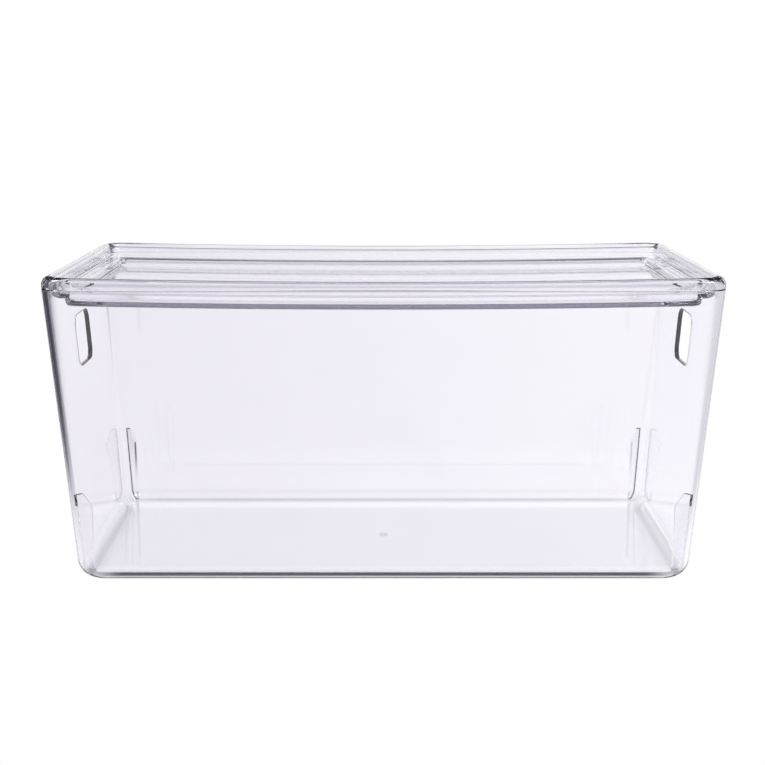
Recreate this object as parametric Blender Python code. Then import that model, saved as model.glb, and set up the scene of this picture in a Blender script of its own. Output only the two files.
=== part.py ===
"""Clear storage bin for a fridge shelf, with a stepped tray lid that lifts off.

The bin is one moulding: a tapered tub with a finger hole through each end wall and a thin
stacking fin in each corner. The lid is another: a flange that rests on the rim, and a tray
that drops inside it. Run it in Blender 4.5; it clears the scene and models both pieces.
"""

import math

import bmesh
import bpy
import numpy as np
from mathutils import Matrix

# Driving dimensions, in metres. The bin stands on Z = 0, its long side along X.
RIM_LENGTH = 0.3200
RIM_DEPTH = 0.1560
RIM_HEIGHT = 0.1450
WALL = 0.0024
FLOOR = 0.0026
SLOPE = 0.064  # how far a wall leans out for each metre that it rises
CORNER_RADIUS = 0.0140  # of the outer face, seen from above, at every height
LEAST_RADIUS = 0.0030  # of any outline, seen from above
BASE_RADIUS = 0.0095  # where a wall turns into the floor, on the outside
RIM_EASE = 0.0005  # rounds both edges of the rim

HOLE_WIDTH = 0.0300
HOLE_HEIGHT = 0.0260
HOLE_RADIUS = 0.0055
HOLE_TOP_BELOW_RIM = 0.0220

FIN_HEIGHT = 0.0420  # above the floor
FIN_THICKNESS = 0.0018
FIN_REACH = 0.0076  # how far its top stands out of the corner
FIN_CHAMFER_DROP = 0.0070
FIN_CHAMFER_RUN = 0.0045

SEAT_GAP = 0.0003  # between the lid's lip and the rim
LID_TOP = 0.0059  # of the flange above the rim, at the corners
LID_WALL = 0.0024
LID_DROOP = 0.0020  # how much lower the middle of each long side lies
LIP_WIDTH = 0.0030
FLANGE_RADIUS = 0.0045  # rounds the outer top edge of the flange
SKIRT_INSET = 0.0046  # from the outer face of the flange
SKIRT_BOTTOM = -0.0040  # from the rim
TRAY_INSET = 0.0106
TRAY_BOTTOM = -0.0083  # from the rim, at the corners
STEP_RADIUS = 0.0012

CORNER_STEPS = 10  # faces round each corner, seen from above
ARC_STEPS = 5  # faces round each fillet of a section
LID_SIDE_STEPS = 12  # faces along each long side of the lid, so that its droop is smooth

PLASTIC = (0.90, 0.89, 0.95, 1.0)
PLASTIC_ROUGHNESS = 0.05
PLASTIC_IOR = 1.57


def clear_scene():
    """Remove every object, so that the file holds only what this script makes."""
    for obj in list(bpy.data.objects):
        bpy.data.objects.remove(obj, do_unlink=True)


def clear_plastic(name):
    """A see-through plastic material, slightly lavender."""
    material = bpy.data.materials.new(name)
    material.use_nodes = True
    shader = material.node_tree.nodes["Principled BSDF"]
    shader.inputs["Base Color"].default_value = PLASTIC
    shader.inputs["Roughness"].default_value = PLASTIC_ROUGHNESS
    shader.inputs["Metallic"].default_value = 0.0
    shader.inputs["IOR"].default_value = PLASTIC_IOR
    shader.inputs["Transmission Weight"].default_value = 1.0
    material.diffuse_color = PLASTIC
    return material


def arc(centre, radius, start, end, steps=ARC_STEPS):
    """Points on an arc in a section plane, from one angle in degrees to another."""
    angles = [math.radians(start + (end - start) * i / steps) for i in range(steps + 1)]
    return [
        (centre[0] + radius * math.cos(angle), centre[1] + radius * math.sin(angle))
        for angle in angles
    ]


def corner_radius(inset, height):
    """The plan radius of a line at an inset: the outer face's, less what lies outside it."""
    outside = max(inset - wall_inset(height), 0.0)
    return max(CORNER_RADIUS - outside, LEAST_RADIUS)


def outline(inset, radius, side_steps=1):
    """A rounded rectangle inside the rim's outer edge, as (x, y) points.

    It starts on the +X end, runs round by +Y and -X, and mirrors itself in Y, so that point k
    and the k-th point from its end have the same x.
    """
    half_x = RIM_LENGTH / 2 - inset
    half_y = RIM_DEPTH / 2 - inset
    right = arc((half_x - radius, half_y - radius), radius, 0, 90, CORNER_STEPS)
    left = arc((radius - half_x, half_y - radius), radius, 90, 180, CORNER_STEPS)
    span = left[0][0] - right[-1][0]
    side = [
        (right[-1][0] + span * i / side_steps, half_y) for i in range(1, side_steps)
    ]
    back = right + side + left
    return back + [(x, -y) for x, y in reversed(back)]


def loft(rings):
    """A closed mesh through rings of points, each capped end filled with strips across Y."""
    mesh = bmesh.new()
    loops = [[mesh.verts.new(point) for point in ring] for ring in rings]
    count = len(loops[0])
    for lower, upper in zip(loops, loops[1:]):
        for i in range(count):
            j = (i + 1) % count
            mesh.faces.new((lower[i], lower[j], upper[j], upper[i]))
    for loop in (loops[0], loops[-1]):
        for i in range(count // 2 - 1):
            mesh.faces.new((loop[i], loop[i + 1], loop[count - 2 - i], loop[count - 1 - i]))
    bmesh.ops.recalc_face_normals(mesh, faces=mesh.faces)
    return mesh


def add_object(name, mesh, material=None):
    """Put a bmesh into the scene as a named object."""
    data = bpy.data.meshes.new(name)
    mesh.to_mesh(data)
    mesh.free()
    obj = bpy.data.objects.new(name, data)
    bpy.context.scene.collection.objects.link(obj)
    if material:
        data.materials.append(material)
    return obj


def helper(name, mesh):
    """An object that only shapes another, through a Boolean."""
    obj = add_object(name, mesh)
    obj.hide_render = True
    obj.display_type = "WIRE"
    return obj


def boolean(target, other, operation):
    """Join or cut an object with a helper, by the exact solver."""
    modifier = target.modifiers.new(other.name, "BOOLEAN")
    modifier.operation = operation
    modifier.solver = "EXACT"
    modifier.object = other


def wall_inset(height):
    """How far the outer face lies inside the rim's outer edge at a height."""
    return SLOPE * (RIM_HEIGHT - height)


def floor_fillet(radius, height, thickness):
    """A section's fillet between wall and floor, as (inset, z) points from the floor up.

    The last point lies on the sloping face that is a wall's thickness inside the outer one.
    """
    lean = math.degrees(math.atan(SLOPE))
    centre_z = height + radius
    centre_inset = wall_inset(centre_z) + thickness + radius * math.hypot(1.0, SLOPE)
    return arc((centre_inset, centre_z), radius, 270, 180 + lean)


def bin_section():
    """The tub's section as (inset, z), from under its floor, over the rim, to its inner floor."""
    outside = floor_fillet(BASE_RADIUS, 0.0, 0.0)
    inside = floor_fillet(BASE_RADIUS - WALL, FLOOR, WALL)
    top = RIM_HEIGHT - RIM_EASE
    rim = arc((RIM_EASE, top), RIM_EASE, 180, 90, 3)
    rim += arc((WALL - RIM_EASE, top), RIM_EASE, 90, 0, 3)
    return outside + rim + list(reversed(inside))


def finger_hole_cutter():
    """A rounded prism along X, long enough to go through both end walls."""
    half = RIM_LENGTH * 0.6
    half_width = HOLE_WIDTH / 2 - HOLE_RADIUS
    half_height = HOLE_HEIGHT / 2 - HOLE_RADIUS
    middle = RIM_HEIGHT - HOLE_TOP_BELOW_RIM - HOLE_HEIGHT / 2
    corners = [(1, 1, 0), (-1, 1, 90), (-1, -1, 180), (1, -1, 270)]
    section = []
    for side_y, side_z, start in corners:
        centre = (side_y * half_width, middle + side_z * half_height)
        section += arc(centre, HOLE_RADIUS, start, start + 90)
    mesh = bmesh.new()
    face = mesh.faces.new([mesh.verts.new((-half, y, z)) for y, z in section])
    moved = bmesh.ops.extrude_face_region(mesh, geom=[face])["geom"]
    far = [item for item in moved if isinstance(item, bmesh.types.BMVert)]
    bmesh.ops.translate(mesh, verts=far, vec=(2 * half, 0, 0))
    bmesh.ops.recalc_face_normals(mesh, faces=mesh.faces)
    return helper("finger_hole_cutter", mesh)


def from_corner(inset, height):
    """How far the middle of a rounded corner lies from the rim's square corner, seen from above."""
    return math.sqrt(2) * inset + (math.sqrt(2) - 1) * corner_radius(inset, height)


def fin_profile():
    """A fin's outline as (distance from the rim's square corner, z), its root inside the wall.

    Its free edge is upright, so that it gets narrower towards the floor as the walls lean in.
    """
    top = FLOOR + FIN_HEIGHT
    free_edge = from_corner(wall_inset(top) + WALL, top) + FIN_REACH
    root = floor_fillet(BASE_RADIUS - WALL / 2, FLOOR / 2, WALL / 2)
    root = [(from_corner(inset, z), z) for inset, z in root]
    root.append((from_corner(wall_inset(top) + WALL / 2, top), top))
    across, heights = zip(*reversed(root))
    foot = float(np.interp(free_edge, across, heights))
    hidden = [point for point in root if point[0] < free_edge]
    shown = [
        (free_edge - FIN_CHAMFER_RUN, top),
        (free_edge, top - FIN_CHAMFER_DROP),
        (free_edge, foot),
    ]
    return hidden + shown


def corner_fin(name, side_x, side_y):
    """A thin upright plate in one corner, on the line from the corner to the middle."""
    mesh = bmesh.new()
    half = FIN_THICKNESS / 2
    face = mesh.faces.new([mesh.verts.new((along, -half, z)) for along, z in fin_profile()])
    moved = bmesh.ops.extrude_face_region(mesh, geom=[face])["geom"]
    far = [item for item in moved if isinstance(item, bmesh.types.BMVert)]
    bmesh.ops.translate(mesh, verts=far, vec=(0, FIN_THICKNESS, 0))
    inward = math.atan2(-side_y, -side_x)
    corner = Matrix.Translation((side_x * RIM_LENGTH / 2, side_y * RIM_DEPTH / 2, 0))
    bmesh.ops.transform(mesh, verts=mesh.verts, matrix=corner @ Matrix.Rotation(inward, 4, "Z"))
    bmesh.ops.recalc_face_normals(mesh, faces=mesh.faces)
    return helper(name, mesh)


def make_bin():
    """The tub, its two finger holes and its four corner fins."""
    rings = []
    for inset, z in bin_section():
        rings.append([(x, y, z) for x, y in outline(inset, corner_radius(inset, z))])
    tub = add_object("bin", loft(rings), clear_plastic("bin_plastic"))
    for side_x, end in ((-1, "left"), (1, "right")):
        for side_y, edge in ((-1, "front"), (1, "back")):
            boolean(tub, corner_fin(f"{edge}_{end}_fin", side_x, side_y), "UNION")
    boolean(tub, finger_hole_cutter(), "DIFFERENCE")
    return tub


def lid_section():
    """The lid's section as (inset, z above the rim, share), from under its tray to its top.

    The share is how much of the droop a point takes. The foot of the lip takes none, because it
    lies on the straight rim, and the flange's outer face takes more the higher it is.
    """
    step = STEP_RADIUS
    outer_step = step + LID_WALL / 2
    under = LID_TOP - LID_WALL
    ledge = SKIRT_BOTTOM + LID_WALL
    panel = TRAY_BOTTOM + LID_WALL
    below = arc((TRAY_INSET + outer_step, TRAY_BOTTOM + outer_step), outer_step, 270, 180)
    below += arc((TRAY_INSET - step, SKIRT_BOTTOM - step), step, 0, 90)
    below += arc((SKIRT_INSET + outer_step, SKIRT_BOTTOM + outer_step), outer_step, 270, 180)
    below += arc((SKIRT_INSET - step, under - step), step, 0, 90)
    below += [(LIP_WIDTH, under)]
    foot = [(LIP_WIDTH, SEAT_GAP), (0.0, SEAT_GAP)]
    flange = arc((FLANGE_RADIUS, LID_TOP - FLANGE_RADIUS), FLANGE_RADIUS, 180, 90)
    above = arc((SKIRT_INSET + LID_WALL - outer_step, LID_TOP - outer_step), outer_step, 90, 0)
    above += arc((SKIRT_INSET + LID_WALL + step, ledge + step), step, 180, 270)
    above += arc((TRAY_INSET + LID_WALL - outer_step, ledge - outer_step), outer_step, 90, 0)
    above += arc((TRAY_INSET + LID_WALL + step, panel + step), step, 180, 270)
    section = [(inset, z, 1.0) for inset, z in below]
    section += [(inset, z, 0.0) for inset, z in foot]
    section += [(inset, z, (z - SEAT_GAP) / (LID_TOP - SEAT_GAP)) for inset, z in flange]
    section += [(inset, z, 1.0) for inset, z in above]
    return section


def droop(x):
    """How far the lid hangs below its corners at a distance along its length."""
    return LID_DROOP * (1 - (x / (RIM_LENGTH / 2)) ** 2)


def make_lid():
    """The lid, closed on the bin."""
    rings = []
    for inset, rise, share in lid_section():
        ring = []
        for x, y in outline(inset, corner_radius(inset, RIM_HEIGHT), LID_SIDE_STEPS):
            ring.append((x, y, RIM_HEIGHT + rise - share * droop(x)))
        rings.append(ring)
    return add_object("lid", loft(rings), clear_plastic("lid_plastic"))


def main():
    """Model the whole object."""
    clear_scene()
    for obj in (make_bin(), make_lid()):
        obj.data.shade_smooth()
        obj.data.set_sharp_from_angle(angle=math.radians(40))


if __name__ == "__main__":
    main()
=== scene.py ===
"""The look of a clear fridge bin with a lift-off tray lid.

The bin and the lid are each one clear injection moulding. Both are worked out with numpy as
rings of a rounded rectangle carried along a section, finer than the solids that they stand
for, and dressed in a procedural clear plastic. The studio is a white floor under a soft sky.
"""

import logging
import math
from dataclasses import dataclass
from enum import Enum
from typing import Any, Union

import bpy
import numpy as np
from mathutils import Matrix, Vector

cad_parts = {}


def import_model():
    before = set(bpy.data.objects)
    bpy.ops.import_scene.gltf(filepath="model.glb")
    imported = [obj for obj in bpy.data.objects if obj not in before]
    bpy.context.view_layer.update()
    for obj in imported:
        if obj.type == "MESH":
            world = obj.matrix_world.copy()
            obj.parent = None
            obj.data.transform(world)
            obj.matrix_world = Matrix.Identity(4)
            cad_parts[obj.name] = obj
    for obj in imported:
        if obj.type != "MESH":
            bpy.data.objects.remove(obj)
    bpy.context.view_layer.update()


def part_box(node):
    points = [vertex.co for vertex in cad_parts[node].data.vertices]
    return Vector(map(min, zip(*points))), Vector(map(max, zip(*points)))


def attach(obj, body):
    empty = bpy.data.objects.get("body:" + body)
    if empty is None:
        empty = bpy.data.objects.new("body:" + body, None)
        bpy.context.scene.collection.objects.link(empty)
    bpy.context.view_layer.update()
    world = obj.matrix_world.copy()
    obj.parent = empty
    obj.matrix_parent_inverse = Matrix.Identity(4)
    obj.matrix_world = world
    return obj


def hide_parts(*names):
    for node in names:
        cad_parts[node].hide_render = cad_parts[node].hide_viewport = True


LOG = logging.getLogger("fridge_bin")
MM = 0.001
CREASE = 38.0  # the angle in degrees past which an edge stays sharp
Array = np.ndarray
Colour = tuple[float, float, float, float]
Span = tuple[float, float]  # where a smooth step starts and ends


# ---------------------------------------------------------------- shader expressions


class Signal:
    """A number that varies over a surface: a shader socket with Python's arithmetic."""

    def __init__(self, graph: "Graph", socket: bpy.types.NodeSocket) -> None:
        """Wrap an output socket.

        Args:
            graph: the graph that the socket's node belongs to.
            socket: the output that holds the number.
        """
        self.graph = graph
        self.socket = socket

    def math(self, operation: str, *operands: "Operand") -> "Signal":
        """Add one Math node with this signal as its first operand.

        Args:
            operation: the Math node's operation.
            operands: the other operands, signals or numbers.

        Returns:
            The node's result.
        """
        return self.graph.math(operation, self, *operands)

    def __add__(self, other: "Operand") -> "Signal":
        """Sum."""
        return self.math("ADD", other)

    __radd__ = __add__

    def __sub__(self, other: "Operand") -> "Signal":
        """Difference."""
        return self.math("SUBTRACT", other)

    def __rsub__(self, other: "Operand") -> "Signal":
        """Difference, with the number first."""
        return self.graph.math("SUBTRACT", other, self)

    def __mul__(self, other: "Operand") -> "Signal":
        """Product."""
        return self.math("MULTIPLY", other)

    __rmul__ = __mul__

    def __truediv__(self, other: "Operand") -> "Signal":
        """Quotient."""
        return self.math("DIVIDE", other)

    def __pow__(self, other: "Operand") -> "Signal":
        """Power."""
        return self.math("POWER", other)

    def __neg__(self) -> "Signal":
        """The signal times minus one."""
        return self.math("MULTIPLY", -1.0)

    def exp(self) -> "Signal":
        """e to the power of the signal."""
        return self.math("EXPONENT")

    def ease(self, low: float, high: float) -> "Signal":
        """0 below low, 1 above high, and a smooth step between them.

        Args:
            low: where the step starts.
            high: where the step ends.

        Returns:
            The step, from 0 to 1.
        """
        return self.graph.node(
            "ShaderNodeMapRange",
            {"interpolation_type": "SMOOTHSTEP"},
            {"Value": self, "From Min": low, "From Max": high},
        )["Result"]


Operand = Union[Signal, float]


class Graph:
    """A node tree, filled through one method for nodes and one for arithmetic."""

    def __init__(self, tree: bpy.types.NodeTree) -> None:
        """Empty a node tree and keep it.

        Args:
            tree: the material's or the world's node tree.
        """
        self.tree = tree
        tree.nodes.clear()

    def node(
        self,
        kind: str,
        settings: dict[str, Any] | None = None,
        sockets: dict[str, Any] | None = None,
    ) -> "Outputs":
        """Add a node.

        Args:
            kind: the node's type, as bpy names it.
            settings: the node's own properties, set before its sockets.
            sockets: its inputs by name or index, each a signal, a socket or a plain value.

        Returns:
            The node's outputs by name.
        """
        node = self.tree.nodes.new(kind)
        for name, value in (settings or {}).items():
            setattr(node, name, value)
        for name, value in (sockets or {}).items():
            socket = node.inputs[name]
            if isinstance(value, Signal):
                self.tree.links.new(value.socket, socket)
            else:
                socket.default_value = value
        return Outputs(self, node)

    def math(self, operation: str, *operands: Operand) -> Signal:
        """Add a Math node.

        Args:
            operation: its operation.
            operands: its operands in order, signals or numbers.

        Returns:
            Its result.
        """
        return self.node("ShaderNodeMath", {"operation": operation}, dict(enumerate(operands)))[
            "Value"
        ]

    def place(self) -> Signal:
        """The surface point in the object's own metres."""
        return self.node("ShaderNodeTexCoord")["Object"]

    def split(self, vector: Signal) -> tuple[Signal, Signal, Signal]:
        """A vector's x, y and z.

        Args:
            vector: the vector to take apart.

        Returns:
            The three parts.
        """
        parts = self.node("ShaderNodeSeparateXYZ", None, {"Vector": vector})
        return parts["X"], parts["Y"], parts["Z"]

    def stretch(self, vector: Signal, scale: tuple[float, float, float]) -> Signal:
        """A vector with each part scaled.

        Args:
            vector: the vector.
            scale: the factor for x, y and z.

        Returns:
            The scaled vector.
        """
        return self.node("ShaderNodeMapping", None, {"Vector": vector, "Scale": scale})["Vector"]

    def noise(self, vector: Signal, scale: float, detail: float = 2.0) -> Signal:
        """Soft noise around 0.5.

        Args:
            vector: where to read it.
            scale: how many lumps fit in one unit.
            detail: how many finer layers are added.

        Returns:
            The noise.
        """
        sockets = {"Vector": vector, "Scale": scale, "Detail": detail}
        return self.node("ShaderNodeTexNoise", None, sockets)[0]

    def blend(self, share: Operand, first: Any, second: Any) -> Signal:
        """A colour between two others.

        Args:
            share: 0 for the first, 1 for the second.
            first: a colour.
            second: a colour.

        Returns:
            The colour.
        """
        mix = self.node(
            "ShaderNodeMix",
            {"data_type": "RGBA"},
            {"Factor": share, 6: first, 7: second},
        )
        return mix[2]


class Outputs:
    """A node's outputs, read by name or index as signals."""

    def __init__(self, graph: Graph, node: bpy.types.Node) -> None:
        """Keep the node.

        Args:
            graph: the graph that the node belongs to.
            node: the node.
        """
        self.graph = graph
        self.node = node

    def __getitem__(self, key: str | int) -> Signal:
        """The output with that name or index."""
        return Signal(self.graph, self.node.outputs[key])


# ---------------------------------------------------------------- finishes


class Moulding(Enum):
    """The two mouldings, each by its node, its body and its material slot."""

    BIN = "bin"
    LID = "lid"

    @property
    def slot(self) -> str:
        """The record's material slot for this moulding."""
        return f"{self.value}_plastic"


@dataclass(frozen=True)
class ClearPlastic:
    """Clear moulded plastic: nearly colourless, darker where it is seen edge on."""

    gate: tuple[float, float] = (0.0, 0.0)  # where the melt came in, seen from above
    tint: Colour = (0.985, 0.983, 0.995, 1.0)
    worn_tint: Colour = (0.965, 0.963, 0.980, 1.0)
    ior: float = 1.57
    depth_colour: Colour = (0.40, 0.38, 0.52, 1.0)
    depth_density: float = 14.0  # per metre
    polish: float = 0.012  # roughness where nothing has touched it
    smudge: float = 0.05  # roughness of a handled patch
    flow_height: float = 0.010 * MM  # of the slow waves that the melt leaves
    wave_scale: float = 22.0  # lumps per metre of the broad waves
    ripple_scale: float = 70.0
    ripple_share: float = 0.4  # how high the ripples are against the broad waves
    scratch_height: float = 0.0006 * MM
    scratch_scale: tuple[float, float, float] = (900.0, 60.0, 60.0)
    gate_radius: float = 2.0 * MM
    gate_height: float = 0.035 * MM
    gate_ring: float = 0.35 * MM  # how wide the raised ring is
    gate_halo: float = 5.0 * MM  # how far the swelling round it reaches
    patch_scale: float = 18.0  # handled patches per metre
    patch_span: Span = (0.54, 0.72)
    grain_scale: float = 420.0
    grain_span: Span = (0.35, 0.75)
    grain_floor: float = 0.4  # the dulling between the grains of a patch

    def heights(self, graph: Graph, place: Signal) -> Signal:
        """The relief in metres: slow waves, fine hairlines and the ring left at the gate.

        Args:
            graph: the material's graph.
            place: the surface point.

        Returns:
            The height above the smooth surface.
        """
        x, y, _ = graph.split(place)
        ripples = self.ripple_share * graph.noise(place, self.ripple_scale, 1.0)
        waves = graph.noise(place, self.wave_scale, 1.0) + ripples
        hairlines = graph.noise(graph.stretch(place, self.scratch_scale), 1.0, 1.0)
        along, across = x - self.gate[0], y - self.gate[1]
        radius = (along * along + across * across) ** 0.5
        ring = (-(((radius - self.gate_radius) / self.gate_ring) ** 2.0)).exp()
        halo = (-((radius / self.gate_halo) ** 2.0)).exp()
        gate = self.gate_height * ring + 0.5 * self.gate_height * halo
        return self.flow_height * waves + self.scratch_height * hairlines + gate

    def handled(self, graph: Graph, place: Signal) -> Signal:
        """Where fingers have dulled the surface, from 0 to 1, in soft patches.

        Args:
            graph: the material's graph.
            place: the surface point.

        Returns:
            The share of dulling.
        """
        patches = graph.noise(place, self.patch_scale, 3.0).ease(*self.patch_span)
        grain = graph.noise(place, self.grain_scale, 2.0).ease(*self.grain_span)
        return patches * (self.grain_floor + (1.0 - self.grain_floor) * grain)

    def material(self, name: str) -> bpy.types.Material:
        """Build the material.

        Args:
            name: its name.

        Returns:
            The material.
        """
        made = bpy.data.materials.new(name)
        made.use_nodes = True
        graph = Graph(made.node_tree)
        place = graph.place()
        handled = self.handled(graph, place)
        relief = graph.node(
            "ShaderNodeBump", None, {"Height": self.heights(graph, place), "Distance": 1.0}
        )
        shader = graph.node(
            "ShaderNodeBsdfPrincipled",
            None,
            {
                "Base Color": graph.blend(handled, self.tint, self.worn_tint),
                "Roughness": self.polish + (self.smudge - self.polish) * handled,
                "Normal": relief["Normal"],
                "IOR": self.ior,
                "Metallic": 0.0,
                "Transmission Weight": 1.0,
            },
        )
        depth = graph.node(
            "ShaderNodeVolumeAbsorption",
            None,
            {"Color": self.depth_colour, "Density": self.depth_density},
        )
        graph.node(
            "ShaderNodeOutputMaterial",
            None,
            {"Surface": shader["BSDF"], "Volume": depth["Volume"]},
        )
        return made


# ---------------------------------------------------------------- shapes


def arc(
    centre: tuple[float, float], radius: float, start: float, end: float, steps: int
) -> Array:
    """Points on an arc: the centre plus the radius times the cosine and sine of each angle.

    Args:
        centre: the arc's centre in its plane.
        radius: its radius.
        start: its first angle in degrees.
        end: its last angle in degrees.
        steps: how many chords it has.

    Returns:
        An array of steps + 1 points by 2.
    """
    angle = np.radians(np.linspace(start, end, steps + 1))
    return np.asarray(centre) + radius * np.stack([np.cos(angle), np.sin(angle)], axis=-1)


def rounded_rings(
    half: tuple[Array, Array], radius: Array, corner_steps: int, side_steps: int
) -> Array:
    """Rounded rectangles seen from above, one for each entry of the arrays.

    Each corner is a quarter circle round (half - radius), and each long side is a straight
    line cut into side_steps. A ring starts on the +X end and runs by +Y, and its second half
    mirrors its first in Y, so that point k and the k-th point from the end share their x.

    Args:
        half: half the length and half the depth of each ring.
        radius: the corner radius of each ring.
        corner_steps: how many chords a corner has.
        side_steps: how many chords a long side has.

    Returns:
        An array of rings by points by 2.
    """
    half_x, half_y, radius = (np.asarray(value)[:, None] for value in (*half, radius))
    turn = np.radians(np.linspace(0.0, 90.0, corner_steps + 1))[None]
    corner_x = half_x - radius + radius * np.cos(turn)
    corner_y = half_y - radius + radius * np.sin(turn)
    share = np.linspace(0.0, 1.0, side_steps + 1)[None, 1:-1]
    side_x = corner_x[:, -1:] * (1.0 - 2.0 * share)
    side_y = np.broadcast_to(half_y, side_x.shape)
    back_x = np.concatenate([corner_x, side_x, -corner_x[:, ::-1]], axis=1)
    back_y = np.concatenate([corner_y, side_y, corner_y[:, ::-1]], axis=1)
    x = np.concatenate([back_x, back_x[:, ::-1]], axis=1)
    y = np.concatenate([back_y, -back_y[:, ::-1]], axis=1)
    return np.stack([x, y], axis=-1)


def mesh_of(name: str, points: Array, faces: list[list[int]]) -> bpy.types.Mesh:
    """A mesh from points and faces.

    Args:
        name: the mesh's name.
        points: an array of points by 3.
        faces: each face's corners, in order.

    Returns:
        The mesh.
    """
    mesh = bpy.data.meshes.new(name)
    mesh.from_pydata(points.tolist(), [], faces)
    mesh.validate()
    return mesh


def lofted(name: str, rings: Array) -> bpy.types.Mesh:
    """A closed mesh: neighbouring rings joined by quads, both ends filled by strips across Y.

    Args:
        name: the mesh's name.
        rings: an array of rings by points by 3.

    Returns:
        The mesh, its faces outwards when the first ring is the lowest.
    """
    count, around = rings.shape[:2]
    index = np.arange(count * around).reshape(count, around)
    ahead = np.roll(index, -1, axis=1)
    sides = np.stack([index[:-1], ahead[:-1], ahead[1:], index[1:]], axis=-1).reshape(-1, 4)
    step = np.arange(around // 2 - 1)
    strip = np.stack([step, step + 1, around - 2 - step, around - 1 - step], axis=-1)
    faces = np.concatenate([sides, index[0][strip[:, ::-1]], index[-1][strip]])
    return mesh_of(name, rings.reshape(-1, 3), faces.tolist())


def tube(name: str, rings: Array) -> bpy.types.Mesh:
    """A closed mesh: neighbouring rings joined by quads, both ends one flat face.

    Args:
        name: the mesh's name.
        rings: an array of rings by points by 3, each turning left round the direction of travel.

    Returns:
        The mesh.
    """
    count, around = rings.shape[:2]
    index = np.arange(count * around).reshape(count, around)
    ahead = np.roll(index, -1, axis=1)
    sides = np.stack([index[:-1], ahead[:-1], ahead[1:], index[1:]], axis=-1).reshape(-1, 4)
    ends = [index[0][::-1].tolist(), index[-1].tolist()]
    return mesh_of(name, rings.reshape(-1, 3), sides.tolist() + ends)


def add_object(name: str, mesh: bpy.types.Mesh) -> bpy.types.Object:
    """Link a mesh to the scene as an object at the origin.

    Args:
        name: the object's name.
        mesh: its mesh.

    Returns:
        The object.
    """
    made = bpy.data.objects.new(name, mesh)
    bpy.context.scene.collection.objects.link(made)
    return made


def settled(piece: bpy.types.Object) -> None:
    """Apply all of a piece's modifiers to its mesh.

    Args:
        piece: the object.
    """
    graph = bpy.context.evaluated_depsgraph_get()
    baked = bpy.data.meshes.new_from_object(piece.evaluated_get(graph))
    piece.modifiers.clear()
    piece.data = baked


def shade(piece: bpy.types.Object) -> None:
    """Smooth a piece's shading, with large flat faces kept flat up to their rounded edges.

    Args:
        piece: the object.
    """
    piece.data.shade_smooth()
    piece.data.set_sharp_from_angle(angle=math.radians(CREASE))
    flatten = piece.modifiers.new("flat_faces", "WEIGHTED_NORMAL")
    flatten.keep_sharp = True
    flatten.weight = 100
    settled(piece)


def combined(piece: bpy.types.Object, others: list[bpy.types.Object], operation: str) -> None:
    """Join or cut a piece with helper objects, which are then removed.

    Args:
        piece: the object that is kept.
        others: the helpers.
        operation: the Boolean's operation.
    """
    for other in others:
        boolean = piece.modifiers.new(other.name, "BOOLEAN")
        boolean.operation = operation
        boolean.solver = "EXACT"
        boolean.object = other
    settled(piece)
    for other in others:
        bpy.data.objects.remove(other, do_unlink=True)


# ---------------------------------------------------------------- the bin


@dataclass(frozen=True)
class Walls:
    """The tapered walls: sizes that the bin, its fins and its holes share."""

    half_length: float
    half_depth: float
    height: float
    thickness: float = 2.4 * MM
    floor: float = 2.6 * MM
    slope: float = 0.064  # how far a wall leans out for each metre that it rises
    corner_radius: float = 14.0 * MM
    least_radius: float = 3.0 * MM
    base_radius: float = 9.5 * MM

    def inset(self, height: float) -> float:
        """How far the outer face lies inside the rim's outer edge at a height."""
        return self.slope * (self.height - height)

    def radius(self, inset: Array, height: Array) -> Array:
        """The corner radius of rings: the outer face's, less what lies outside each ring.

        Args:
            inset: how far each ring lies inside the rim's outer edge.
            height: the height of each ring.

        Returns:
            The radius of each ring.
        """
        outside = np.maximum(inset - self.slope * (self.height - height), 0.0)
        return np.maximum(self.corner_radius - outside, self.least_radius)

    def fillet(self, radius: float, foot: float, offset: float, steps: int) -> Array:
        """A section's fillet between floor and wall, as (inset, z) from the floor up.

        Args:
            radius: the fillet's radius.
            foot: the height of its flat end.
            offset: how far its wall end lies inside the outer face.
            steps: how many chords it has.

        Returns:
            An array of points by 2.
        """
        lean = math.degrees(math.atan(self.slope))
        centre = foot + radius
        across = self.inset(centre) + offset + radius * math.hypot(1.0, self.slope)
        return arc((across, centre), radius, 270.0, 180.0 + lean, steps)


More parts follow.
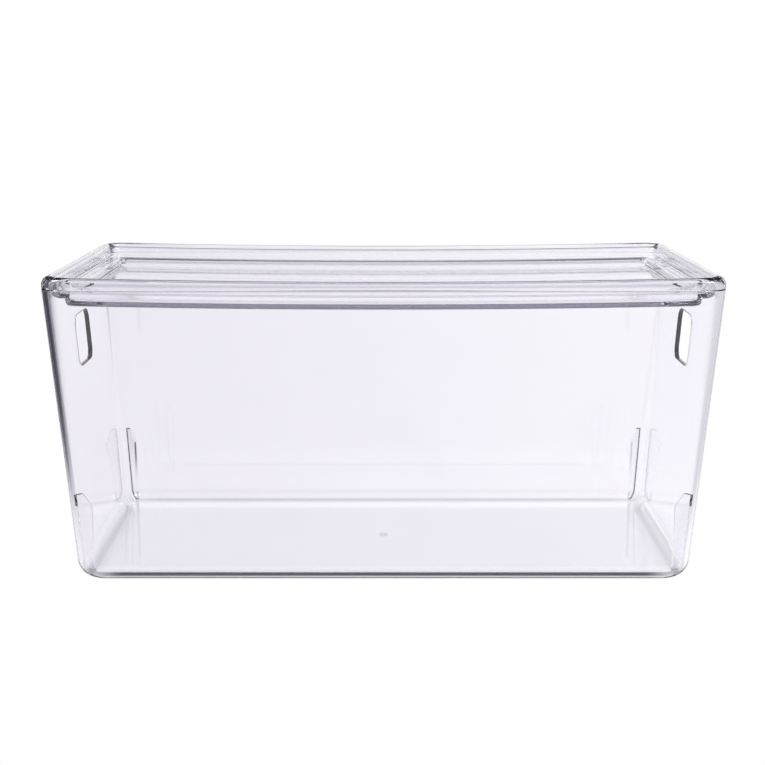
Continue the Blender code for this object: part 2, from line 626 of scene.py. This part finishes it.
@dataclass(frozen=True)
class FingerHole:
    """A rounded opening through one end wall, its edges softened."""

    walls: Walls
    side: int  # -1 for the left end, 1 for the right
    width: float = 30.0 * MM
    height: float = 26.0 * MM
    radius: float = 5.5 * MM
    top_below_rim: float = 22.0 * MM
    ease: float = 0.7 * MM  # radius of its edges
    sweep: float = 65.0  # how many degrees of that radius are cut
    reach: float = 1.2 * MM  # how far the cutter runs past each face
    ease_steps: int = 6
    corner_steps: int = 12
    side_steps: int = 4

    def cutter(self) -> bpy.types.Object:
        """The tool that cuts it: a tube through the wall that flares at both faces.

        Inside the wall the flare follows a circle, so that its growth is the ease times
        (1 - cos t) and its depth the ease times (sin of the sweep - sin t).

        Returns:
            The tool as an object.
        """
        turn = np.radians(np.linspace(self.sweep, 0.0, self.ease_steps + 1))
        depth = self.ease * (math.sin(turn[0]) - np.sin(turn))
        growth = self.ease * (1.0 - np.cos(turn))
        depth = np.concatenate([[-self.reach], depth])
        growth = np.concatenate([[growth[0] + self.reach * math.tan(turn[0])], growth])
        depth = np.concatenate([depth, self.walls.thickness - depth[::-1]])
        growth = np.concatenate([growth, growth[::-1]])
        half_y = self.width / 2 + growth
        half_z = self.height / 2 + growth
        radius = self.radius + growth
        section = rounded_rings((half_y, half_z), radius, self.corner_steps, self.side_steps)
        middle = self.walls.height - self.top_below_rim - self.height / 2
        y = section[..., 0]
        z = middle + section[..., 1]
        face = self.walls.half_length - self.walls.slope * (self.walls.height - z)
        x = self.side * (face - depth[:, None])
        rings = np.stack([x, -self.side * y, z], axis=-1)
        return add_object(f"hole_tool_{self.side}", tube("hole_tool", rings))


@dataclass(frozen=True)
class CornerFin:
    """A thin upright plate in a corner, that keeps nested bins from jamming."""

    walls: Walls
    side_x: int  # -1 for the left end, 1 for the right
    side_y: int  # -1 for the front, 1 for the back
    height: float = 42.0 * MM  # above the floor
    thickness: float = 1.8 * MM
    reach: float = 7.6 * MM  # how far its top stands out of the corner
    chamfer_drop: float = 7.0 * MM
    chamfer_run: float = 4.5 * MM
    ease: float = 0.35 * MM  # radius of its edges
    ease_steps: int = 3
    fillet_steps: int = 12

    def from_corner(self, inset: Array, height: Array) -> Array:
        """How far a ring's rounded corner lies from the rim's square corner, seen from above.

        It is the inset times the root of 2, plus the corner radius times (root of 2 - 1).

        Args:
            inset: how far the ring lies inside the rim's outer edge.
            height: its height.

        Returns:
            The distance.
        """
        root = math.sqrt(2.0)
        return root * inset + (root - 1.0) * self.walls.radius(inset, height)

    def outline(self) -> Array:
        """The plate's edge as (distance from the square corner, z), its root in mid wall.

        Returns:
            An array of points by 2.
        """
        walls = self.walls
        top = walls.floor + self.height
        inner = walls.inset(top) + walls.thickness
        free = float(self.from_corner(np.array(inner), np.array(top))) + self.reach
        middle = walls.thickness / 2
        radius = walls.base_radius - middle
        root = walls.fillet(radius, walls.floor / 2, middle, self.fillet_steps)
        root = np.vstack([root, [walls.inset(top) + middle, top]])
        root[:, 0] = self.from_corner(root[:, 0], root[:, 1])
        foot = np.interp(free, root[::-1, 0], root[::-1, 1])
        shown = [
            (free - self.chamfer_run, top),
            (free, top - self.chamfer_drop),
            (free, foot),
        ]
        return np.vstack([root[root[:, 0] < free], shown])

    def solid(self) -> bpy.types.Object:
        """The plate, ready to be joined to the bin.

        Returns:
            The plate as an object.
        """
        edge = self.outline()
        walls = self.walls
        inward = np.array([-self.side_x, -self.side_y]) / math.sqrt(2.0)
        across = np.array([-inward[1], inward[0]])
        corner = np.array([self.side_x * walls.half_length, self.side_y * walls.half_depth])
        sides = np.array([-0.5, 0.5])[:, None, None] * self.thickness
        plan = corner + edge[None, :, :1] * inward + sides * across
        z = np.broadcast_to(edge[None, :, 1:], (2, len(edge), 1))
        name = f"fin_{self.side_x}_{self.side_y}"
        plate = add_object(name, tube(name, np.concatenate([plan, z], axis=-1)))
        soften = plate.modifiers.new("soft_edges", "BEVEL")
        soften.width = self.ease
        soften.segments = self.ease_steps
        soften.limit_method = "ANGLE"
        settled(plate)
        return plate


@dataclass(frozen=True)
class Bin:
    """The tub: tapered walls, a rounded base, a finger hole at each end, a fin in each corner."""

    walls: Walls
    finish: ClearPlastic
    rim_ease: float = 0.6 * MM  # radius of the rim's two edges
    rim_steps: int = 5
    fillet_steps: int = 16
    corner_steps: int = 28

    def section(self) -> Array:
        """The section as (inset, z), from under the floor, over the rim, to the inner floor.

        Returns:
            An array of points by 2.
        """
        walls = self.walls
        thick = walls.thickness
        outside = walls.fillet(walls.base_radius, 0.0, 0.0, self.fillet_steps)
        inside = walls.fillet(
            walls.base_radius - thick, walls.floor, thick, self.fillet_steps
        )
        top = walls.height - self.rim_ease
        ease, n = self.rim_ease, self.rim_steps
        outer_edge = arc((ease, top), ease, 180.0, 90.0, n)
        inner_edge = arc((thick - ease, top), ease, 90.0, 0.0, n)
        return np.concatenate([outside, outer_edge, inner_edge, inside[::-1]])

    def build(self) -> bpy.types.Object:
        """Build the tub with its holes and fins, and dress it.

        Returns:
            The finished piece.
        """
        walls = self.walls
        inset, z = self.section().T
        half = (walls.half_length - inset, walls.half_depth - inset)
        plan = rounded_rings(half, walls.radius(inset, z), self.corner_steps, 1)
        level = np.broadcast_to(z[:, None, None], (*plan.shape[:2], 1))
        piece = add_object("clear_bin", lofted("clear_bin", np.concatenate([plan, level], -1)))
        ends = (-1, 1)
        fins = [CornerFin(walls, x, y).solid() for x in ends for y in ends]
        combined(piece, fins, "UNION")
        combined(piece, [FingerHole(walls, side).cutter() for side in ends], "DIFFERENCE")
        shade(piece)
        dress(piece, self.finish, Moulding.BIN)
        return piece


# ---------------------------------------------------------------- the lid


@dataclass(frozen=True)
class Lid:
    """The lid: a flange on the rim, a skirt inside it and a recessed tray, slightly bowed."""

    walls: Walls
    finish: ClearPlastic
    seat_gap: float = 0.3 * MM
    top: float = 5.9 * MM  # of the flange above the rim, at the corners
    thickness: float = 2.4 * MM
    droop: float = 2.0 * MM  # how much lower the middle of each long side lies
    lip: float = 3.0 * MM
    flange_radius: float = 4.5 * MM
    skirt_inset: float = 4.6 * MM
    skirt_bottom: float = -4.0 * MM
    tray_inset: float = 10.6 * MM
    tray_bottom: float = -8.3 * MM
    step: float = 1.2 * MM
    arc_steps: int = 8
    corner_steps: int = 24
    side_steps: int = 56

    def underside(self) -> Array:
        """The section under the lid as (inset, z above the rim), from the tray to the lip.

        Returns:
            An array of points by 2.
        """
        step, n = self.step, self.arc_steps
        wide = step + self.thickness / 2
        under = self.top - self.thickness
        parts = [
            arc((self.tray_inset + wide, self.tray_bottom + wide), wide, 270, 180, n),
            arc((self.tray_inset - step, self.skirt_bottom - step), step, 0, 90, n),
            arc((self.skirt_inset + wide, self.skirt_bottom + wide), wide, 270, 180, n),
            arc((self.skirt_inset - step, under - step), step, 0, 90, n),
            np.array([[self.lip, under]]),
        ]
        return np.concatenate(parts)

    def topside(self) -> Array:
        """The section over the lid as (inset, z above the rim), from the flange to the tray.

        Returns:
            An array of points by 2.
        """
        step, n = self.step, self.arc_steps
        wide = step + self.thickness / 2
        ledge = self.skirt_bottom + self.thickness
        panel = self.tray_bottom + self.thickness
        skirt = self.skirt_inset + self.thickness
        tray = self.tray_inset + self.thickness
        flange = (self.flange_radius, self.top - self.flange_radius)
        parts = [
            arc(flange, self.flange_radius, 180, 90, n),
            arc((skirt - wide, self.top - wide), wide, 90, 0, n),
            arc((skirt + step, ledge + step), step, 180, 270, n),
            arc((tray - wide, ledge - wide), wide, 90, 0, n),
            arc((tray + step, panel + step), step, 180, 270, n),
        ]
        return np.concatenate(parts)

    def build(self) -> bpy.types.Object:
        """Build the lid and dress it.

        Every point is lowered by the droop times (1 - the square of x over the half length),
        but the foot of the lip stays on the straight rim, and the flange's outer face is
        lowered in proportion to its height above that foot.

        Returns:
            The finished piece.
        """
        walls = self.walls
        foot = np.array([[self.lip, self.seat_gap], [0.0, self.seat_gap]])
        under, over = self.underside(), self.topside()
        inset, rise = np.concatenate([under, foot, over]).T
        bows = np.ones(len(inset))
        outer = slice(len(under), len(under) + len(foot) + self.arc_steps + 1)
        bows[outer] = (rise[outer] - self.seat_gap) / (self.top - self.seat_gap)
        half = (walls.half_length - inset, walls.half_depth - inset)
        radius = walls.radius(inset, np.full(len(inset), walls.height))
        plan = rounded_rings(half, radius, self.corner_steps, self.side_steps)
        bow = self.droop * (1.0 - (plan[..., 0] / walls.half_length) ** 2)
        z = walls.height + rise[:, None] - bows[:, None] * bow
        rings = np.concatenate([plan, z[..., None]], axis=-1)
        piece = add_object("clear_lid", lofted("clear_lid", rings))
        shade(piece)
        dress(piece, self.finish, Moulding.LID)
        return piece


def dress(piece: bpy.types.Object, finish: ClearPlastic, moulding: Moulding) -> None:
    """Give a piece its material and tie it to the CAD node that it stands for.

    Args:
        piece: the finished piece.
        finish: its plastic.
        moulding: which moulding it is.
    """
    piece.data.materials.clear()
    piece.data.materials.append(finish.material(f"{moulding.value}_clear_plastic"))
    piece.visible_shadow = False
    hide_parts(moulding.value)
    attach(piece, moulding.value)


# ---------------------------------------------------------------- the studio


@dataclass(frozen=True)
class Surround:
    """What the clear plastic sees round it: white, with a dark ceiling and a dark flag."""

    back_left: Colour = (0.955, 0.935, 0.98, 1.0)
    back_right: Colour = (1.09, 1.075, 1.10, 1.0)
    front: Colour = (0.70, 0.69, 0.73, 1.0)
    right: Colour = (0.74, 0.73, 0.77, 1.0)
    flag: Colour = (0.06, 0.06, 0.09, 1.0)
    ceiling: Colour = (0.12, 0.12, 0.155, 1.0)
    overhead: Colour = (0.85, 0.84, 0.88, 1.0)
    back_span: Span = (-0.2, 0.3)  # of azimuth, between the two halves of the back
    side_span: Span = (-0.1, 0.1)  # of azimuth, between left and right
    aside_span: Span = (0.262, 0.37)  # of azimuth either way, between the back and the sides
    front_span: Span = (0.85, 1.10)  # of azimuth either way, between the sides and the front
    ceiling_span: Span = (0.16, 0.42)  # of rise
    overhead_span: Span = (0.78, 0.90)  # of rise

    def colour(self, graph: Graph, azimuth: Signal, flagged: Operand) -> Signal:
        """The light that comes level from one direction.

        Args:
            graph: the graph to add to.
            azimuth: the direction's angle from straight behind, in radians, right positive.
            flagged: how much of the dark flag on the left shows, from 0 to 1.

        Returns:
            The colour.
        """
        size = graph.math("ABSOLUTE", azimuth)
        right = azimuth.ease(*self.side_span)
        left = graph.blend(flagged, self.front, self.flag)
        aside = graph.blend(right, left, self.right)
        across = azimuth.ease(*self.back_span)
        behind = graph.blend(across, self.back_left, self.back_right)
        lit = graph.blend(size.ease(*self.aside_span), behind, aside)
        return graph.blend(size.ease(*self.front_span), lit, self.front)

    def roofed(self, graph: Graph, level: Signal, rise: Signal) -> Signal:
        """The level light with the dark ceiling over it, and a lit panel straight overhead.

        Args:
            graph: the graph to add to.
            level: the light that comes level.
            rise: the sine of the direction's elevation.

        Returns:
            The colour.
        """
        lit = graph.blend(rise.ease(*self.ceiling_span), level, self.ceiling)
        return graph.blend(rise.ease(*self.overhead_span), lit, self.overhead)


@dataclass(frozen=True)
class Studio:
    """A white floor, a soft sky, two softboxes and the camera."""

    surround: Surround = Surround()
    foot: tuple[float, float] = (0.1460, 0.0640)  # half the object's length and depth, at its foot
    foot_shift: float = 0.6 * MM  # how far in front of the middle that foot is centred
    painted_glow: Colour = (1.32, 1.30, 1.35, 1.0)  # painted light: the floor made brighter where it is seen through the object's base
    painted_glow_share: float = 0.5
    painted_glow_span: Span = (-12.0 * MM, 0.0)  # of distance beyond the foot
    contact_shadow: Colour = (0.05, 0.05, 0.07, 1.0)  # painted shadow on the floor along the object's rounded edge
    contact_inner: Span = (-4.5 * MM, -1.0 * MM)
    contact_outer: Span = (2.0 * MM, 9.0 * MM)
    behind_span: Span = (-0.062, -0.045)  # of y, where the contact shade fades towards the back
    behind_fade: float = 0.72
    ends_span: Span = (0.128, 0.141)  # of x either way, where it fades at the ends
    ends_fade: float = 0.45
    flag_span: Span = (-0.03, 0.08)  # of y, where the floor starts to carry the dark flag
    near_span: Span = (-0.22, -0.10)  # of y, between the near floor and the rest
    eye: float = 0.69  # how far in front of the middle the floor's azimuths start
    floor_half: float = 8.0
    floor_drop: float = 0.2 * MM
    camera_back: float = 0.6915  # from the middle of the object
    camera_up: float = 0.2353
    camera_aside: float = -0.0005
    camera_pitch: float = 12.23  # degrees below the horizon
    lens: float = 63.53
    softbox_side: float = 0.8
    softbox_power: float = 25.0  # watts
    clear_bounces: int = 32
    other_bounces: int = 16

    def open_white(self, graph: Graph, seen: Signal) -> Signal:
        """White where the floor or sky is looked at straight, and its own light elsewhere.

        Args:
            graph: the graph to add to.
            seen: the light that it gives to the plastic.

        Returns:
            The colour.
        """
        straight = graph.node("ShaderNodeLightPath")["Is Camera Ray"]
        return graph.blend(straight, seen, (1.0, 1.0, 1.0, 1.0))

    def beyond_foot(self, graph: Graph, x: Signal, y: Signal) -> Signal:
        """How far a floor point lies outside the foot: the larger of |x| and |y| less their halves.

        Args:
            graph: the graph to add to.
            x: the floor point's x.
            y: its y.

        Returns:
            The distance, negative inside.
        """
        beyond_x = graph.math("ABSOLUTE", x) - self.foot[0]
        beyond_y = graph.math("ABSOLUTE", y + self.foot_shift) - self.foot[1]
        return graph.math("MAXIMUM", beyond_x, beyond_y)

    def contact_shade(self, graph: Graph, x: Signal, y: Signal) -> Signal:
        """How shaded the floor is in a soft band along the object's foot, most in front.

        Args:
            graph: the graph to add to.
            x: the floor point's x.
            y: its y.

        Returns:
            The shade, from 0 to 1.
        """
        beyond = self.beyond_foot(graph, x, y)
        band = beyond.ease(*self.contact_inner) * (1.0 - beyond.ease(*self.contact_outer))
        behind = self.behind_fade * y.ease(*self.behind_span)
        ends = self.ends_fade * graph.math("ABSOLUTE", x).ease(*self.ends_span)
        return band * (1.0 - behind) * (1.0 - ends)

    def floor(self) -> None:
        """A wide white floor just under the object that glows, with painted light under its foot
        and painted shadow round it.
        """
        side = np.linspace(-self.floor_half, self.floor_half, 3)
        x, y = np.meshgrid(side, side)
        points = np.stack([x, y, np.full_like(x, -self.floor_drop)], axis=-1).reshape(-1, 3)
        faces = [[0, 1, 4, 3], [1, 2, 5, 4], [3, 4, 7, 6], [4, 5, 8, 7]]
        sheet = add_object("studio_floor", mesh_of("studio_floor", points, faces))
        white = bpy.data.materials.new("studio_white")
        white.use_nodes = True
        graph = Graph(white.node_tree)
        x, y, _ = graph.split(graph.place())
        azimuth = graph.math("ARCTAN2", x, y + self.eye)
        seen = self.surround.colour(graph, azimuth, y.ease(*self.flag_span))
        seen = graph.blend(y.ease(*self.near_span), self.surround.front, seen)
        # painted light: a brighter glow on the floor under the object's foot
        under = 1.0 - self.beyond_foot(graph, x, y).ease(*self.painted_glow_span)
        seen = graph.blend(self.painted_glow_share * under, seen, self.painted_glow)
        # painted shadow: the floor darkened in a band along the object's rounded edge
        seen = graph.blend(self.contact_shade(graph, x, y), seen, self.contact_shadow)
        glow = graph.node("ShaderNodeEmission", None, {"Color": self.open_white(graph, seen)})
        graph.node("ShaderNodeOutputMaterial", None, {"Surface": glow["Emission"]})
        sheet.data.materials.append(white)

    def sky(self) -> None:
        """A sky that carries the surround above the floor."""
        world = bpy.data.worlds.new("studio_sky")
        world.use_nodes = True
        graph = Graph(world.node_tree)
        x, y, rise = graph.split(graph.node("ShaderNodeTexCoord")["Generated"])
        level = self.surround.colour(graph, graph.math("ARCTAN2", x, y), 1.0)
        seen = self.surround.roofed(graph, level, rise)
        sky = graph.node("ShaderNodeBackground", None, {"Color": self.open_white(graph, seen)})
        graph.node("ShaderNodeOutputWorld", None, {"Surface": sky["Background"]})
        bpy.context.scene.world = world

    def softbox(self, name: str, place: tuple[float, float, float]) -> None:
        """A square lamp that faces the object.

        Args:
            name: its name.
            place: where it hangs.
        """
        lamp = bpy.data.lights.new(name, "AREA")
        lamp.shape = "SQUARE"
        lamp.size = self.softbox_side
        lamp.energy = self.softbox_power
        made = bpy.data.objects.new(name, lamp)
        bpy.context.scene.collection.objects.link(made)
        x, y, z = place
        made.location = place
        made.rotation_euler = (math.atan2(math.hypot(x, y), z), 0.0, math.atan2(y, x) + math.pi / 2)
        made.visible_camera = False

    def camera(self) -> None:
        """The camera, level from side to side and tilted a little down."""
        made = bpy.data.objects.new("camera", bpy.data.cameras.new("camera"))
        bpy.context.scene.collection.objects.link(made)
        made.data.lens = self.lens
        made.location = (self.camera_aside, -self.camera_back, self.camera_up)
        made.rotation_euler = (math.radians(90.0 - self.camera_pitch), 0.0, 0.0)
        bpy.context.scene.camera = made

    def build(self) -> None:
        """Set up the whole studio."""
        self.floor()
        self.sky()
        self.softbox("softbox_left", (-1.6, 0.5, 2.2))
        self.softbox("softbox_right", (1.6, -0.6, 2.2))
        self.camera()
        scene = bpy.context.scene
        scene.view_settings.view_transform = "Standard"
        scene.cycles.max_bounces = self.clear_bounces
        scene.cycles.transmission_bounces = self.clear_bounces
        scene.cycles.glossy_bounces = self.other_bounces
        scene.cycles.transparent_max_bounces = self.other_bounces


def main() -> None:
    """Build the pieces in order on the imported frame, then the studio."""
    logging.basicConfig(level=logging.INFO, format="%(name)s: %(message)s")
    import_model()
    low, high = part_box("bin")
    walls = Walls((high[0] - low[0]) / 2, (high[1] - low[1]) / 2, high[2])
    Studio().build()
    tub = Bin(walls, ClearPlastic())
    lid = Lid(walls, ClearPlastic(flow_height=0.018 * MM, gate_height=0.03 * MM))
    for piece in (tub.build(), lid.build()):
        LOG.info("%s: %d faces", piece.name, len(piece.data.polygons))


if __name__ == "__main__":
    main()
